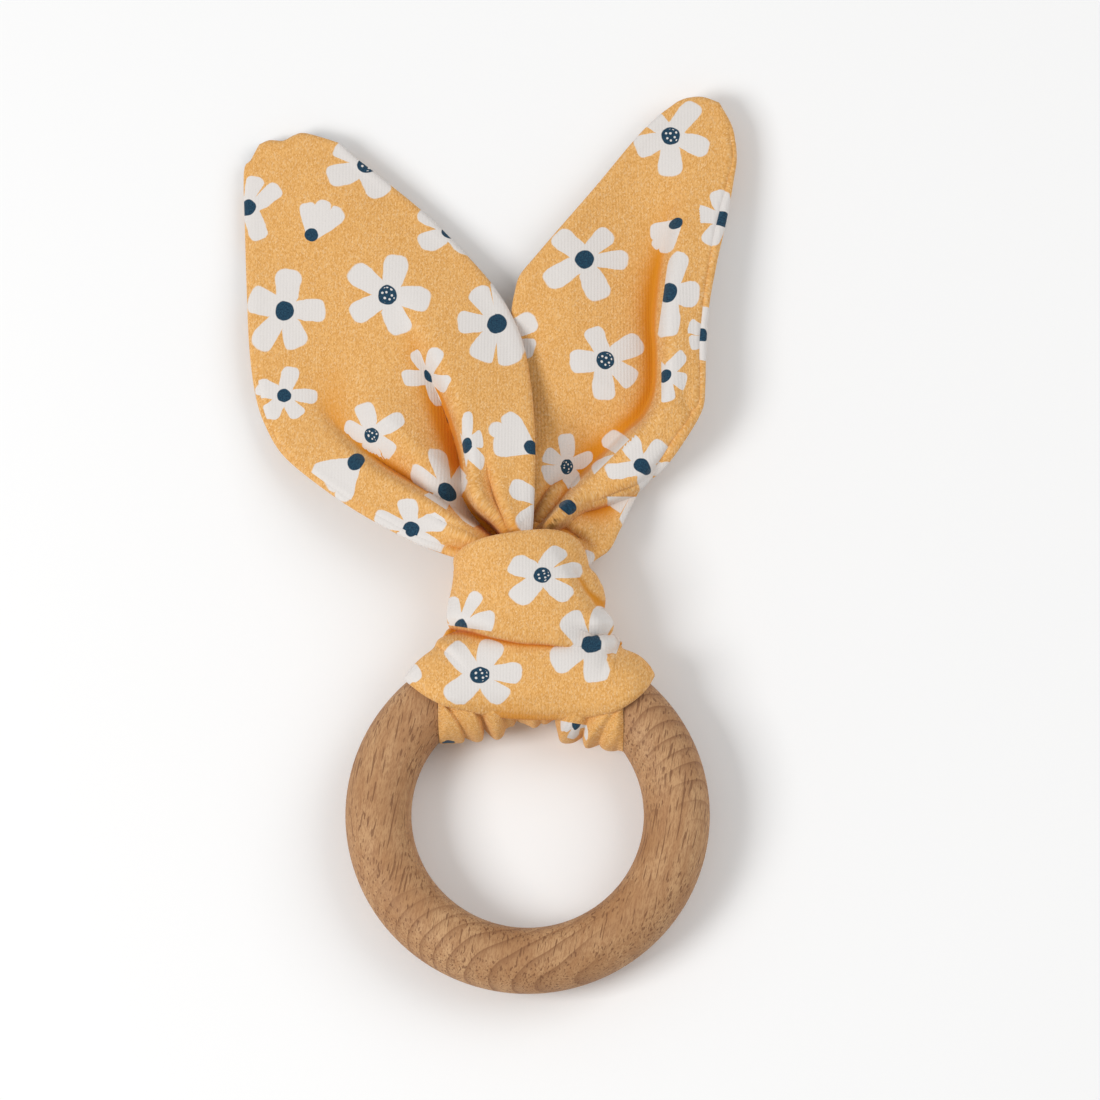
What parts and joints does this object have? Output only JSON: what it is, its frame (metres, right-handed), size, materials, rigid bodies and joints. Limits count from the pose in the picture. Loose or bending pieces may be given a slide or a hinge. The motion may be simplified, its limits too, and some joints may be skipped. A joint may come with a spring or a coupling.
{
  "type": "teething ring",
  "caption": "Bunny-ear teething ring: a smooth round beech ring with a printed jersey strip knotted round it, its two leaf-shaped ends standing out as soft ears.",
  "frame": {"origin": "centre of the wooden ring, in the ring's middle plane", "axes": "+Z along the ring's axis, up from the surface it lies on; +Y from the ring towards the ears; +X to the right seen from above"},
  "size_m": [0.0957, 0.1788, 0.02],
  "materials": {
    "beech": "satin",
    "jersey": "matte",
    "thread": "matte"
  },
  "bodies": {
    "ring": {"wooden_ring": "beech"},
    "loop": {"ring_wrap": "jersey", "front_skirt": "jersey"},
    "knot": {"knot_band": "jersey", "knot_core": "jersey"},
    "left_foot": {"left_ear_neck": "jersey"},
    "left_ear": {"left_ear_front_panel": "jersey", "left_ear_back_panel": "jersey", "left_ear_edge_seam": "thread"},
    "right_foot": {"right_ear_neck": "jersey"},
    "right_ear": {"right_ear_front_panel": "jersey", "right_ear_back_panel": "jersey", "right_ear_edge_seam": "thread"}
  },
  "joints": [
    {"name": "loop_turn", "type": "hinge", "parent": "ring", "child": "loop", "pos_m": [0, 0, 0], "axis": [0, 0, 1], "continuous": true},
    {"name": "knot_tip", "type": "hinge", "parent": "loop", "child": "knot", "pos_m": [0, 0.02865, 0], "axis": [1, 0, 0], "range_deg": [0, 50]},
    {"name": "left_ear_splay", "type": "hinge", "parent": "knot", "child": "left_foot", "pos_m": [-0.0045, 0.051, 0.0021], "axis": [0, 0, 1], "range_deg": [0, 12]},
    {"name": "left_ear_flop", "type": "hinge", "parent": "left_foot", "child": "left_ear", "pos_m": [-0.013, 0.0595, 0.0005], "axis": [1, 0, 0], "range_deg": [0, 75]},
    {"name": "right_ear_splay", "type": "hinge", "parent": "knot", "child": "right_foot", "pos_m": [0.0045, 0.051, 0.0021], "axis": [0, 0, -1], "range_deg": [0, 12]},
    {"name": "right_ear_flop", "type": "hinge", "parent": "right_foot", "child": "right_ear", "pos_m": [0.0095, 0.0595, 0.0005], "axis": [1, 0, 0], "range_deg": [0, 75]}
  ]
}
